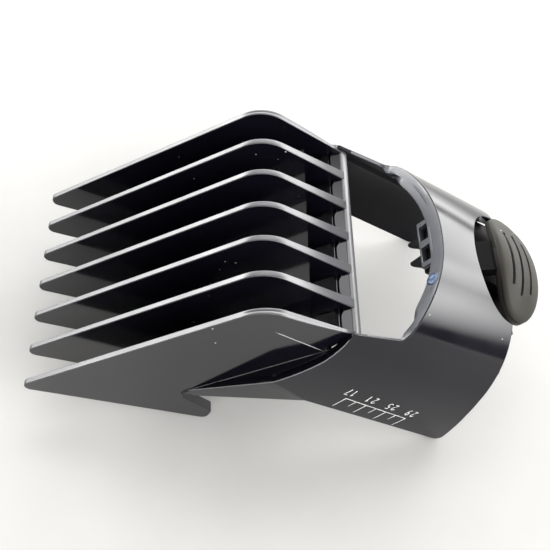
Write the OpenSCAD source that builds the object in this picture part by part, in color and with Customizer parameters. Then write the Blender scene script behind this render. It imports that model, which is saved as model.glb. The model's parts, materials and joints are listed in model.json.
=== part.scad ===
// Clipper guard comb: seven long guard teeth, a sliding collar and a sprung release latch.
// The comb is drawn in its own frame first: x runs along the clipper, z away from it, and the
// scalp edges bend at the point x = 0, z = 0. lay_down() then sets the comb on its heels.
// The clipper slides in from +x. Left is the -y side and right is the +y side.

/* [Teeth] */
// Number of guard teeth
tooth_count = 7; // [5:2:7]
// Distance from one tooth to the next
tooth_pitch = 6.5; // [6.3:0.1:6.5]
// Tooth thickness along the scalp edge
tooth_edge_t = 1; // [0.8:0.1:1.2]
// Tooth thickness on the clipper side
tooth_back_t = 1.8; // [1.5:0.1:1.9]
// Length of the sloping scalp edge, from the bend to the tip
tooth_reach = 49.1; // [47:0.1:50]
// Angle between the sloping scalp edge and the clipper
scalp_angle = 67.2; // [66:0.1:68]
// Radius where the scalp edge bends
bend_r = 6; // [3:0.5:8]
// Radius of a tooth tip
tip_r = 1.4; // [1:0.1:1.6]
// Height of the blade notch in a tooth
notch_h = 25.8; // [25:0.1:26]
// Depth of the heel behind the blade notch
heel_len = 9.7; // [8:0.1:10]

/* [Cross rail] */
// Where the rail's rear edge lies along the clipper
rail_x = 18.5; // [18.1:0.1:18.9]
// Width of the rail's top face
rail_top_w = 1.15; // [1:0.05:1.3]
// Depth of the rail's web below its top face
rail_depth = 6.4; // [6:0.1:6.8]
// Thickness of the rail's web
rail_web_t = 1.15; // [1:0.05:1.3]

/* [Collar] */
// Half width of the collar at its open side
collar_half_w = 23; // [23:0.1:24]
// Height of the collar's arch over its open side
collar_h = 26.5; // [26:0.1:27]
// Height of the open side below the bend
collar_drop = 16.6; // [16.4:0.1:16.8]
// Squareness of the arch, where 2 is an ellipse
arch_power = 2.5; // [2.3:0.1:2.7]
// Wall thickness of the collar
wall_t = 1.5; // [1.3:0.1:1.7]
// Where the rim's front edge lies at the middle of the arch
rim_x = 29.4; // [29:0.1:30]
// How far the rim's front edge falls back towards the arms
rim_dip = 3.3; // [3:0.1:3.6]
// Half width of the roof, between the two side walls
roof_half_w = 18.55; // [18.3:0.05:18.7]
// Where the rear edge lies at the middle of the arch
rear_x = 47; // [46.5:0.1:48]
// How far the lower rear corners reach past the roof
rear_sweep = 5.4; // [4.5:0.1:6]
// Extra depth of the lip under the rim
lip_h = 1.1; // [0.8:0.1:1.4]
// Length of the lip under the rim
lip_len = 2; // [1.6:0.1:2.4]

/* [Latch] */
// Where the latch pivots along the clipper
pivot_x = 38; // [37.5:0.1:38.5]
// Height of the latch pivot
pivot_z = 5.2; // [5:0.1:5.4]
// Radius of the pivot pin
pin_r = 0.9; // [0.8:0.05:1]
// Radial clearance of the latch on its pin
pin_clear = 0.06; // [0.02:0.01:0.08]
// Height of the claw tips
claw_tip_z = 1.35; // [1.2:0.05:1.6]
// Distance between the two claws
claw_pitch = 3.9; // [3.6:0.1:4.2]
// Middle of the release button along the clipper
button_x = 47.6; // [47.4:0.1:47.8]
// Half length of the button along the clipper
button_half_l = 5.6; // [5.4:0.1:5.8]
// Half width of the button across the clipper
button_half_w = 10.6; // [10.3:0.1:10.7]
// Height of the button's crown
button_z = 12.5; // [12.2:0.1:12.8]
// Thickness of the button's dome
button_t = 1.3; // [1.1:0.1:1.5]
// Number of grip grooves across the button
groove_count = 3; // [2:1:4]

/* [Hidden] */

// Colours
black_plastic = [0.10, 0.10, 0.11];
button_plastic = [0.17, 0.16, 0.15];
spring_steel = [0.62, 0.62, 0.64];

// Fine stepping for outlines and for round parts
arch_steps = 44;
arc_steps = 6;
round_fn = 48;
far = 90;
gap = 0.02;

// Tooth outline, in the x-z plane
outer_y = (tooth_count - 1) / 2 * tooth_pitch + tooth_edge_t / 2;
tip = [-tooth_reach * cos(scalp_angle), -tooth_reach * sin(scalp_angle)];
notch_top = [15.2, -5.3];
notch_slope = 0.4;
notch_apex = notch_top + [-notch_slope * notch_h, -notch_h];
heel_upper = notch_apex + [1.5, -1.7];
heel_rear = notch_apex + [heel_len - 0.8, -3.9];
heel_foot = notch_apex + [heel_len, -7.1];
heel_r = 1.2;
tooth_outline = [
    each fillet(heel_foot, tip, [0, 0], tip_r),
    each fillet(tip, [0, 0], [rail_x, 0], bend_r),
    [rail_x, 0],
    notch_top,
    notch_apex,
    heel_upper,
    each fillet(heel_upper, heel_rear, heel_foot, heel_r),
    each fillet(heel_rear, heel_foot, tip, heel_r)
];

// The wedge that thins each tooth towards its scalp edge
wedge_depth = 16.4;
wedge_past = 2;

// The facet that leans the top of each outer tooth inwards
facet_start = 2;
facet_lean = 12.4;
facet_run = 40;

// Cross rail, in the x-z plane
rail_bevel = 0.35;
rail_front = rail_x - rail_top_w;
rail_ledge = [15.65, -1.3];
rail_foot = rail_ledge + (rail_depth + rail_ledge[1]) * [-notch_slope, -1];
rail_outline = [
    [rail_front, 0],
    [rail_x, 0],
    [rail_x + rail_bevel, -2 * rail_bevel],
    rail_foot + [rail_web_t, 0],
    rail_foot + [0, rail_bevel],
    rail_ledge,
    [rail_front, -rail_bevel]
];

// Side wall, in the x-z plane
arm_start = [16.6, 0.7];
arm_end = [rim_x - rim_dip, 2.1];
crest_z = -13.9;
crest = [notch_top[0] + notch_slope * (crest_z - notch_top[1]), crest_z];
wall_foot = [20.5, -collar_drop];
rear_low = [rear_x + rear_sweep, -collar_drop];
rear_mid = [rear_x + 2.3, -6.5];
rear_high = [rear_x + 1.2, 0.5];
wall_outline = [
    arm_start,
    notch_top,
    crest,
    wall_foot,
    each fillet(wall_foot, rear_low, rear_mid, heel_r),
    rear_mid,
    rear_high,
    [rear_x + 1, arm_end[1]],
    arm_end
];

// Blade cheek: the web behind the outer tooth and the strip that runs down to its heel
cheek_foot = notch_apex + [2.2, -0.6];
cheek_t = 1.4;
web_t = 1.2;
crease = wall_foot - crest;
crease_slope = -heading(crease);
cheek_depth = norm(cross([each crease, 0], [each (notch_apex - crest), 0])) / norm(crease);
cheek_lean = atan((collar_half_w - outer_y) / cheek_depth);
strip_outline = [crest, notch_apex, cheek_foot, wall_foot];
web_crest = crest + unit(crease) * web_t;
low_web_outline = [crest, notch_apex, notch_apex + [web_t, 0], web_crest];
high_web_outline = [notch_top, crest, web_crest, notch_top + [web_t, 0]];

// Roof notch that the button sits in
button_gap = 0.5;
notch_half_w = button_half_w + button_gap;
notch_len = 9.1;

// Latch parts
claw_x = 30.8;
claw_t = 1.2;
claw_w = 2.6;
claw_top_z = 3.9;
claw_hook = 1.3;
claw_point_w = 0.6;
lever_z = 4.6;
lever_t = 1.2;
lever_half_w = 4.5;
hub_r = 1.9;
hub_half_w = 6.6;
neck_x = 40.3;
neck_len = 9.4;
neck_half_w = 11.2;
rib_y = 3.6;
rib_t = 0.5;
rib_h = 1.5;
ear_gap = 0.3;
ear_t = 1.2;
ear_half_l = 1.9;
lever_front = claw_x + claw_t;
stem_half_w = 3;
stem_t = 1.4;
stem_foot = [pivot_x, pivot_z];
stem_head = [44.2, button_z];
crown_r_across = 18;
crown_r_along = 14;
crown_shift = 1.1;
skirt_t = 1.2;
skirt_drop = 4.2;
groove_w = 0.5;
groove_pitch = 2.1;
groove_start = 3.6;
groove_depth = 0.45;
groove_half_w = 6.6;

// Guide plate with its two windows
guide_x = 29.3;
guide_t = 0.8;
guide_half_w = 4.5;
guide_low_z = 4.7;
window_w = 2.1;
window_pitch = 4.2;
window_low_z = 5.2;
window_h = 1.6;

// Return spring between the roof and the lever
spring_x = 34.2;
spring_r = 1.45;
spring_wire_r = 0.2;
spring_turns = 3;
spring_sides = 8;
spring_steps_per_turn = 16;
post_r = 0.9;
post_h = 1.2;

// How the comb lies: on its heels and on the lower rear corners of the collar
heel_centre = corner_centre(heel_rear, heel_foot, tip, heel_r);
lay_span = corner_centre(wall_foot, rear_low, rear_mid, heel_r) - heel_centre;
lay_tilt = heading(lay_span);
low_z = rotated_z(heel_centre, lay_tilt) - heel_r;
tip_centre = corner_centre(heel_foot, tip, [0, 0], tip_r);
lay_front = rotated_x(tip_centre, lay_tilt) - tip_r;
button_rear = [button_x + button_half_l, button_z - crown_r_along
    + sqrt(pow(crown_r_along, 2) - pow(button_half_l + crown_shift, 2))];
lay_rear = rotated_x(button_rear, lay_tilt);

// Rounded corner of an outline: the points of an arc of radius r at b, on the way from a to c
function unit(v) = v / norm(v);
function half_angle(a, b, c) = acos(unit(a - b) * unit(c - b)) / 2;
function corner_centre(a, b, c, r) =
    b + unit(unit(a - b) + unit(c - b)) * r / sin(half_angle(a, b, c));
function heading(v) = atan2(v[1], v[0]);
function turn(a, b) = (b - a + 540) % 360 - 180;
function fillet(a, b, c, r) =
    let (
        m = corner_centre(a, b, c, r),
        reach = r / tan(half_angle(a, b, c)),
        from = heading(b + unit(a - b) * reach - m),
        to = heading(b + unit(c - b) * reach - m)
    )
    [for (i = [0:arc_steps])
        let (t = from + turn(from, to) * i / arc_steps) m + r * [cos(t), sin(t)]];

// Height and across-flats outline of the collar's arch, inset by t
function arch_z(y, t) =
    -collar_drop + (collar_h - t)
    * pow(1 - pow(abs(y) / (collar_half_w - t), arch_power), 1 / arch_power);
function super(v, power) = sign(v) * pow(abs(v), 2 / power);
function arch_points(t) = [
    for (i = [0:arch_steps])
        let (a = 180 * i / arch_steps)
        [(collar_half_w - t) * super(cos(a), arch_power),
         -collar_drop + (collar_h - t) * super(sin(a), arch_power)]
];

// Front edge of the rim in plan
function rim_at(y, back) =
    let (s = y / roof_half_w) rim_x + back - rim_dip * (1.4 * pow(s, 2) - 0.4 * pow(s, 4));
function rim_points(back) = [
    for (i = [0:arch_steps / 2])
        let (y = -roof_half_w + 4 * roof_half_w * i / arch_steps) [rim_at(y, back), y]
];

function reversed(list) = [for (i = [len(list) - 1:-1:0]) list[i]];

// Closed rounded-rectangle curve in plan
function oval_points(x, half_l, half_w, power) = [
    for (i = [0:arch_steps - 1])
        let (a = 360 * i / arch_steps)
        [x + half_l * super(cos(a), power), half_w * super(sin(a), power)]
];

// A point of the side view once the comb is tilted
function rotated_x(p, tilt) = p[0] * cos(tilt) + p[1] * sin(tilt);
function rotated_z(p, tilt) = p[1] * cos(tilt) - p[0] * sin(tilt);

// Puts the comb down on z = 0, with the middle of its length at x = 0
module lay_down() {
    translate([-(lay_front + lay_rear) / 2, 0, -low_z])
        rotate([0, lay_tilt, 0]) children();
}

// Extrusions of a side view across the comb and of a cross-section along it
module across(half_w = far) {
    rotate([90, 0, 0]) linear_extrude(2 * half_w, center = true) children();
}

module along(x0, x1) {
    translate([x0, 0, 0]) rotate([90, 0, 90]) linear_extrude(x1 - x0) children();
}

// side is -1 on the left and 1 on the right
module side_half(side, inner) {
    translate([-far, side > 0 ? inner : -inner - far, -far]) cube([2 * far, far, 2 * far]);
}

module shell_section(outer_t, inner_t) {
    difference() {
        polygon(arch_points(outer_t));
        polygon(arch_points(inner_t));
    }
}

// A tooth thins towards its scalp edge; an outer tooth keeps its outer face flat
module tooth_wedge(side) {
    thin = tooth_edge_t / 2;
    flat = tooth_edge_t / 2;
    thick = side == 0 ? tooth_back_t / 2 : tooth_back_t - flat;
    low = side < 0 ? flat : thick;
    high = side > 0 ? flat : thick;
    rotate([0, 90 - scalp_angle, 0])
        linear_extrude(2 * far, center = true)
            polygon([
                [-wedge_past, -thin], [0, -thin], [wedge_depth, -low], [far, -low],
                [far, high], [wedge_depth, high], [0, thin], [-wedge_past, thin]
            ]);
}

module facet_cut(side) {
    slope = atan(-notch_top[1] / (notch_top[0] - facet_start));
    translate([facet_start, side * outer_y, 0])
        rotate([0, slope, 0])
            rotate([side * facet_lean, 0, 0])
                translate([-facet_run / 2, side > 0 ? 0 : -far, -gap])
                    cube([facet_run * 2, far, far]);
}

module tooth_body(i) {
    side = i == 1 ? 1 : i == tooth_count ? -1 : 0;
    y = ((tooth_count + 1) / 2 - i) * tooth_pitch;
    difference() {
        translate([0, y, 0]) intersection() {
            across(tooth_pitch / 2) polygon(tooth_outline);
            tooth_wedge(side);
        }
        if (side != 0) facet_cut(side);
    }
}

module tooth(i) {
    color(black_plastic) lay_down() tooth_body(i);
}

module rail_body() {
    difference() {
        across(outer_y - tooth_edge_t / 2) polygon(rail_outline);
        for (i = [1:tooth_count]) tooth_body(i);
    }
}

module cross_rail() {
    color(black_plastic) lay_down() rail_body();
}

module side_wall(side) {
    color(black_plastic) lay_down() difference() {
        intersection() {
            along(0, far) shell_section(0, wall_t);
            across() polygon(wall_outline);
            side_half(side, roof_half_w);
        }
        tooth_body(side > 0 ? 1 : tooth_count);
        across(outer_y - tooth_edge_t / 2) polygon(rail_outline);
    }
}

// Slab whose outer face leans in from the crease at the collar's foot to the outer tooth
module lean_slab(side, thick) {
    translate([crest[0], side * collar_half_w, crest[1]])
        rotate([0, crease_slope, 0])
            rotate([side * -cheek_lean, 0, 0])
                translate([-far, side > 0 ? -thick : 0, -far])
                    cube([2 * far, thick, 2 * far]);
}

module blade_cheek(side) {
    color(black_plastic) lay_down() {
        intersection() {
            across() polygon(strip_outline);
            lean_slab(side, cheek_t);
        }
        intersection() {
            across() polygon(low_web_outline);
            lean_slab(side, far);
            side_half(side, outer_y);
        }
        intersection() {
            across() polygon(high_web_outline);
            along(0, far) polygon(arch_points(wall_t));
            side_half(side, outer_y);
        }
    }
}

module roof_plan() {
    difference() {
        polygon([
            each rim_points(0),
            [rear_x + 1, roof_half_w],
            [rear_x, notch_half_w],
            [rear_x, -notch_half_w],
            [rear_x + 1, -roof_half_w]
        ]);
        polygon(oval_points(rear_x, notch_len, notch_half_w, 2));
    }
}

module collar_roof() {
    color(black_plastic) lay_down() intersection() {
        along(0, far) shell_section(0, wall_t);
        translate([0, 0, -collar_drop / 2]) linear_extrude(far) roof_plan();
    }
}

module rim_lip() {
    color(black_plastic) lay_down() intersection() {
        along(0, far) shell_section(wall_t, wall_t + lip_h);
        linear_extrude(far)
            polygon([each rim_points(0), each reversed(rim_points(lip_len))]);
    }
}

module latch_guide() {
    color(black_plastic) lay_down() difference() {
        intersection() {
            translate([guide_x, -guide_half_w, guide_low_z])
                cube([guide_t, 2 * guide_half_w, far]);
            along(0, far) polygon(arch_points(wall_t + lip_h));
        }
        for (side = [-1, 1])
            translate([guide_x - guide_t, side * window_pitch / 2 - window_w / 2, window_low_z])
                cube([3 * guide_t, window_w, window_h]);
    }
}

module pivot_ear(side) {
    inner = hub_half_w + ear_gap;
    color(black_plastic) lay_down() difference() {
        intersection() {
            union() {
                translate([pivot_x, 0, pivot_z]) rotate([90, 0, 0])
                    cylinder(r = ear_half_l, h = 2 * far, center = true, $fn = round_fn);
                translate([pivot_x - ear_half_l, -far, pivot_z])
                    cube([2 * ear_half_l, 2 * far, far]);
            }
            along(0, far) polygon(arch_points(wall_t));
            translate([0, side > 0 ? inner : -inner - ear_t, -far])
                cube([far, ear_t, 2 * far]);
        }
        pivot_bore(pin_r);
    }
}

module pivot_bore(r) {
    translate([pivot_x, 0, pivot_z]) rotate([90, 0, 0])
        cylinder(r = r, h = 2 * far, center = true, $fn = round_fn);
}

module pivot_pin() {
    length = 2 * (hub_half_w + ear_gap + ear_t);
    color(spring_steel) lay_down()
        translate([pivot_x, 0, pivot_z]) rotate([90, 0, 0])
            cylinder(r = pin_r, h = length, center = true, $fn = round_fn);
}

module spring_post() {
    top = arch_z(0, wall_t);
    color(black_plastic) lay_down() intersection() {
        translate([spring_x, 0, top - post_h])
            cylinder(r = post_r, h = 2 * post_h, $fn = round_fn);
        along(0, far) polygon(arch_points(wall_t));
    }
}

// Tube of radius r along a path of points
function ring(p, next, r) =
    let (
        t = unit(next - p),
        s = unit(cross(t, [0, 0, 1])),
        u = cross(s, t)
    )
    [for (k = [0:spring_sides - 1])
        let (a = 360 * k / spring_sides) p + r * (cos(a) * s + sin(a) * u)];

module tube(path, r) {
    n = len(path) - 1;
    points = [for (i = [0:n - 1]) each ring(path[i], path[i + 1], r)];
    last = (n - 1) * spring_sides;
    polyhedron(points, [
        [for (k = [0:spring_sides - 1]) k],
        for (i = [0:n - 2]) for (k = [0:spring_sides - 1])
            let (j = (k + 1) % spring_sides, a = i * spring_sides)
            [a + k, a + spring_sides + k, a + spring_sides + j, a + j],
        [for (k = [spring_sides - 1:-1:0]) last + k]
    ]);
}

module return_spring() {
    low = lever_z + lever_t + spring_wire_r + gap;
    high = arch_z(spring_r + spring_wire_r, wall_t) - spring_wire_r - gap;
    steps = spring_turns * spring_steps_per_turn;
    path = [
        for (i = [0:steps])
            let (a = 360 * spring_turns * i / steps)
            [spring_r * cos(a), spring_r * sin(a), low + (high - low) * i / steps]
    ];
    color(spring_steel) lay_down() translate([spring_x, 0, 0]) tube(path, spring_wire_r);
}

// Lever: a flat arm from the claws to the hub, a neck behind it, and a stem up to the button
module latch_lever() {
    color(black_plastic) lay_down() difference() {
        union() {
            translate([lever_front, -lever_half_w, lever_z])
                cube([pivot_x - lever_front, 2 * lever_half_w, lever_t]);
            translate([pivot_x, 0, pivot_z]) rotate([90, 0, 0])
                cylinder(r = hub_r, h = 2 * hub_half_w, center = true, $fn = round_fn);
            lever_neck();
            intersection() {
                across(stem_half_w) polygon([
                    stem_foot + [0, -stem_t / 2],
                    stem_head + [stem_t, -stem_t],
                    stem_head,
                    stem_foot + [-stem_t, stem_t / 2]
                ]);
                button_dome(button_t);
            }
        }
        pivot_bore(pin_r + pin_clear);
    }
}

// Wide plate behind the hub with two ribs, which shows dark in front of the button
module lever_neck() {
    translate([pivot_x, -lever_half_w, lever_z])
        cube([neck_x + gap - pivot_x, 2 * lever_half_w, lever_t]);
    translate([neck_x, -neck_half_w, lever_z]) cube([neck_len, 2 * neck_half_w, lever_t]);
    for (side = [-1, 1])
        translate([neck_x, side * rib_y - rib_t / 2, lever_z]) cube([neck_len, rib_t, lever_t + rib_h]);
}

module button_dome(t) {
    intersection() {
        translate([0, 0, button_z - crown_r_across]) rotate([0, 90, 0])
            cylinder(r = crown_r_across - t, h = 2 * far, $fn = 2 * round_fn);
        translate([button_x - crown_shift, 0, button_z - crown_r_along]) rotate([90, 0, 0])
            cylinder(r = crown_r_along - t, h = 2 * far, center = true, $fn = 2 * round_fn);
    }
}

// The claws hang from a cross bar behind the guide plate and hook forwards under it
module latch_claws() {
    color(black_plastic) lay_down() {
        translate([claw_x, -lever_half_w, claw_top_z])
            cube([claw_t, 2 * lever_half_w, lever_z + lever_t - claw_top_z]);
        for (side = [-1, 1]) intersection() {
            across(lever_half_w) polygon([
                [claw_x, claw_top_z],
                [claw_x - claw_hook, claw_tip_z],
                [claw_x + 0.2, claw_tip_z],
                [claw_x + claw_t, claw_top_z]
            ]);
            along(0, far) translate([side * claw_pitch / 2, 0]) polygon([
                [-claw_w / 2, claw_top_z],
                [-claw_point_w / 2, claw_tip_z],
                [claw_point_w / 2, claw_tip_z],
                [claw_w / 2, claw_top_z]
            ]);
        }
    }
}

module release_button() {
    color(button_plastic) lay_down() difference() {
        intersection() {
            translate([0, 0, button_z - skirt_drop])
                linear_extrude(far)
                    polygon(oval_points(button_x, button_half_l, button_half_w, arch_power));
            button_dome(0);
        }
        intersection() {
            button_dome(button_t);
            translate([-skirt_t, 0, 0])
                linear_extrude(far)
                    polygon(oval_points(button_x - skirt_t, button_half_l,
                                        far, arch_power));
        }
        for (i = [1:groove_count]) grip_groove(button_x - groove_start + (i - 1) * groove_pitch);
    }
}

// Groove that follows the crown from side to side
module grip_groove(x) {
    intersection() {
        translate([x, 0, button_z - crown_r_across]) rotate([0, 90, 0]) difference() {
            cylinder(r = crown_r_across + groove_depth, h = groove_w, $fn = 2 * round_fn);
            translate([0, 0, -gap])
                cylinder(r = crown_r_across - groove_depth, h = 2 * groove_w, $fn = 2 * round_fn);
        }
        translate([x - groove_w, -groove_half_w, 0])
            cube([3 * groove_w, 2 * groove_half_w, far]);
    }
}

tooth(1);  // tooth_1
tooth(2);  // tooth_2
tooth(3);  // tooth_3
tooth(4);  // tooth_4
tooth(5);  // tooth_5
tooth(6);  // tooth_6
tooth(7);  // tooth_7
cross_rail();
side_wall(-1);  // left_side_wall
side_wall(1);  // right_side_wall
blade_cheek(-1);  // left_blade_cheek
blade_cheek(1);  // right_blade_cheek
collar_roof();
rim_lip();
latch_guide();
pivot_ear(-1);  // left_pivot_ear
pivot_ear(1);  // right_pivot_ear
spring_post();
pivot_pin();
return_spring();
latch_lever();
latch_claws();
release_button();
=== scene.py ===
import json
import math

import bmesh
import bpy
import numpy as np
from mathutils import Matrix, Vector


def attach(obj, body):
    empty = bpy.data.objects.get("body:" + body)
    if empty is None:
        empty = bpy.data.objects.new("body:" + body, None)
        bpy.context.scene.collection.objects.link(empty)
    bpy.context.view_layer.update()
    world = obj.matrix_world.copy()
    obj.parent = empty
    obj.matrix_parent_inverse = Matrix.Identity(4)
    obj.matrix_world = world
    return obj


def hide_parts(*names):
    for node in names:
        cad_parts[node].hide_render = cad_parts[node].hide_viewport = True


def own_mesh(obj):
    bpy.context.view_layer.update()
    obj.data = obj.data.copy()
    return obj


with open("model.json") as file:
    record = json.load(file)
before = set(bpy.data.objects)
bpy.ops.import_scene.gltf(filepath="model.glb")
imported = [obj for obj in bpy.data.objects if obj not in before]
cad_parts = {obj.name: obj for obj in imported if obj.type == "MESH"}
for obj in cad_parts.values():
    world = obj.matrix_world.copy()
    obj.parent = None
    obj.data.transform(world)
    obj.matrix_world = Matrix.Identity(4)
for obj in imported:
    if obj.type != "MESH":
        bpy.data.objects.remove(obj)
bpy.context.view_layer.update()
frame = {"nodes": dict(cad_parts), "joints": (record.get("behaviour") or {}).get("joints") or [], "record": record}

# Lengths below are in millimetres, in the comb's own frame: x along the clipper, y across it and
# z away from it, with the bend of the scalp edges at x = 0, z = 0. put() takes them to the frame.
MM = 0.001
PIVOT = (38.0, 5.2)

mounts = {m["name"]: m for m in frame["record"]["mounts"]}
along = Vector(mounts["clipper_channel"]["axis"]).normalized()
upward = Vector((-along.z, 0, along.x))
origin = Vector(frame["joints"][0]["pos_m"]) - MM * (PIVOT[0] * along + PIVOT[1] * upward)
BODY = "comb_body"
LATCH = "latch"


def put(x, y, z):
    """A comb point in millimetres, as a point of the frame in metres."""
    return origin + MM * (x * along + y * Vector((0, 1, 0)) + z * upward)


# ---------------------------------------------------------------- driving dimensions
PITCH = 6.5
TEETH = 7
EDGE_T = 0.96
BACK_T = 1.8
WEDGE_DEPTH = 16.4
SCALP_ANGLE = 67.2
REACH = 49.08
BEND_R = 6.06
TIP_R = 1.4
NOTCH_TOP = (15.2, -5.3)
NOTCH_SLOPE = 0.4
APEX = (4.88, -31.1)
HEEL_R = 1.2
RAIL_X = 18.5
RAIL_TOP_W = 1.15
RAIL_DEPTH = 6.4
RAIL_LEDGE = (15.65, -1.3)
OUTER_Y = 20.0

HALF_W = 23.0
ARCH_H = 26.5
DROP = 16.6
POWER = 2.5
WALL_T = 1.5
RIM_X = 29.4
RIM_DIP = 3.3
ROOF_HALF_W = 18.55
REAR_X = 47.0
CREST = (11.76, -13.9)
WALL_FOOT = (20.5, -DROP)
STRIP_FOOT = (7.1, -31.7)
STRIP_LEAN = math.tan(math.radians(9.6))
BUTTON_NOTCH = (9.1, 11.1)

EDGE_R = 0.16
SOFT_R = 0.22
FILLET_R = 0.22


# ---------------------------------------------------------------- small geometry helpers
def lerp(a, b, t):
    return a + (b - a) * t


def ramp(value, low, high):
    """0 below low, 1 above high, smooth between."""
    t = min(max((value - low) / (high - low), 0.0), 1.0)
    return t * t * (3 - 2 * t)


def spaced(a, b, count):
    """count + 1 values from a to b."""
    return [lerp(a, b, i / count) for i in range(count + 1)]


def fillet(a, b, c, radius, steps):
    """Points of the arc that rounds corner b on the way from a to c."""
    a, b, c = Vector(a), Vector(b), Vector(c)
    u, v = (a - b).normalized(), (c - b).normalized()
    half = u.angle(v) / 2
    centre = b + (u + v).normalized() * radius / math.sin(half)
    start = b + u * radius / math.tan(half) - centre
    end = b + v * radius / math.tan(half) - centre
    first = math.atan2(start.y, start.x)
    turn = (math.atan2(end.y, end.x) - first + math.pi) % (2 * math.pi) - math.pi
    return [
        (centre.x + radius * math.cos(first + turn * i / steps),
         centre.y + radius * math.sin(first + turn * i / steps))
        for i in range(steps + 1)
    ]


def add_piece(name, mesh, materials, body=BODY, replaces=()):
    """Links a mesh that is already in the frame, gives it weighted normals and lets it ride."""
    piece = bpy.data.objects.new(name, mesh)
    bpy.context.scene.collection.objects.link(piece)
    for material in materials if isinstance(materials, list) else [materials]:
        mesh.materials.append(material)
    normals = piece.modifiers.new("normals", "WEIGHTED_NORMAL")
    normals.keep_sharp = True
    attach(piece, body)
    if replaces:
        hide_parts(*replaces)
    return piece


def finished_mesh(name, points, faces, sharp=(), materials=()):
    """A closed smooth mesh from comb points, with normals outwards. sharp lists vertex pairs."""
    mesh = bpy.data.meshes.new(name)
    mesh.from_pydata([put(*p) for p in points], [], faces)
    for face, index in zip(mesh.polygons, materials):
        face.material_index = index
    bm = bmesh.new()
    bm.from_mesh(mesh)
    bm.verts.ensure_lookup_table()
    for a, b in sharp:
        edge = bm.edges.get((bm.verts[a], bm.verts[b]))
        if edge:
            edge.smooth = False
    bmesh.ops.recalc_face_normals(bm, faces=bm.faces)
    for face in bm.faces:
        face.smooth = True
    bm.to_mesh(mesh)
    bm.free()
    return mesh


def sheet(name, cells, point, thickness, radius, groove=None, sharp=None, second_material_at=None, inner_kind=0,
          first=3):
    """A closed plate with rounded edges, bent from a flat pattern.

    cells are the pattern's faces, as lists of (u, v). point(u, v, depth) is the comb point at a
    depth below the outer face, thickness(u, v) the plate's thickness, radius(u, v) the rounding of
    the outer and inner edges, groove(u, v) the depth of a fine groove along the middle of the edge,
    sharp(u, v) says which pattern points lie on a crease, and second_material_at(u, v) where the edge
    has the second material, from its strip number first on. On the teeth that material's lighter
    colour is a painted highlight. inner_kind is the inner face's material.
    """
    steps = 3
    flat = bmesh.new()
    for cell in cells:
        flat.faces.new([flat.verts.new((u, v, 0)) for u, v in cell])
    bmesh.ops.remove_doubles(flat, verts=flat.verts, dist=1e-3)
    for face in flat.faces:
        face.normal_update()
        if face.normal.z < 0:
            face.normal_flip()
    flat.verts.index_update()
    flat.verts.ensure_lookup_table()
    pattern = [(vert.co.x, vert.co.y) for vert in flat.verts]
    onward = {}
    for edge in flat.edges:
        if edge.is_boundary:
            loop = edge.link_loops[0]
            onward[loop.vert.index] = loop.link_loop_next.vert.index
    backward = {b: a for a, b in onward.items()}

    def inward(index):
        here = Vector(pattern[index])
        before = (here - Vector(pattern[backward[index]])).normalized()
        after = (Vector(pattern[onward[index]]) - here).normalized()
        left = Vector((-before.y, before.x)) + Vector((-after.y, after.x))
        if left.length < 1e-6:
            return Vector((-before.y, before.x))
        left.normalize()
        return left / max(left.dot(Vector((-before.y, before.x))), 0.5)

    points, outer, inner = [], {}, {}
    border = {}
    for index, (u, v) in enumerate(pattern):
        depth = thickness(u, v)
        if index not in onward:
            outer[index] = len(points)
            points.append(point(u, v, 0))
            inner[index] = len(points)
            points.append(point(u, v, depth))
            continue
        way = inward(index)
        round_out, round_in = radius(u, v)
        profile = []
        for i in range(steps + 1):
            t = math.pi / 2 * i / steps
            profile.append((round_out * (1 - math.sin(t)), round_out * (1 - math.cos(t))))
        if groove:
            sunk, half = groove(u, v), 0.07
            middle = lerp(round_out, depth - round_in, 0.5)
            profile += [(0, middle - half), (sunk, middle), (0, middle + half)]
        for i in range(steps, -1, -1):
            t = math.pi / 2 * i / steps
            profile.append((round_in * (1 - math.sin(t)), depth - round_in * (1 - math.cos(t))))
        ring = []
        for inset, level in profile:
            ring.append(len(points))
            points.append(point(u + way.x * inset, v + way.y * inset, level))
        border[index] = ring
        outer[index], inner[index] = ring[0], ring[-1]

    faces, kinds = [], []
    for face in flat.faces:
        loop = [vert.index for vert in face.verts]
        faces.append([outer[i] for i in loop])
        faces.append([inner[i] for i in reversed(loop)])
        kinds += [0, inner_kind]
    for a, b in onward.items():
        count = len(border[a]) - 1
        for k in range(count):
            faces.append([border[a][k], border[a][k + 1], border[b][k + 1], border[b][k]])
            second_here = second_material_at and second_material_at(*pattern[a]) and second_material_at(*pattern[b])
            kinds.append(1 if second_here and first <= k else 0)
    creases = []
    if sharp:
        for edge in flat.edges:
            a, b = edge.verts[0].index, edge.verts[1].index
            if sharp(*pattern[a]) and sharp(*pattern[b]):
                creases.append((outer[a], outer[b]))
    flat.free()
    return finished_mesh(name, points, faces, creases, kinds)


def bands(rows):
    """Cells between rows of pattern points. Rows of equal length are joined one to one."""
    cells = []
    for low, high in zip(rows, rows[1:]):
        for k in range(len(low) - 1):
            cell = [low[k], low[k + 1], high[k + 1], high[k]]
            clean = [p for i, p in enumerate(cell) if math.dist(p, cell[i - 1]) > 2e-3]
            if len(clean) > 2:
                cells.append(clean)
    return cells


# ---------------------------------------------------------------- materials
def shader(name):
    material = bpy.data.materials.new(name)
    material.use_nodes = True
    tree = material.node_tree
    return material, tree, tree.nodes["Principled BSDF"]


def object_noise(tree, scale, detail=3.0, stretch=(1, 1, 1)):
    """Noise in the frame's metres, so that its scale is the real one."""
    place = tree.nodes.new("ShaderNodeTexCoord")
    size = tree.nodes.new("ShaderNodeMapping")
    size.inputs["Scale"].default_value = stretch
    noise = tree.nodes.new("ShaderNodeTexNoise")
    noise.inputs["Scale"].default_value = scale
    noise.inputs["Detail"].default_value = detail
    tree.links.new(place.outputs["Object"], size.inputs["Vector"])
    tree.links.new(size.outputs["Vector"], noise.inputs["Vector"])
    return noise.outputs["Fac"]


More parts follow.
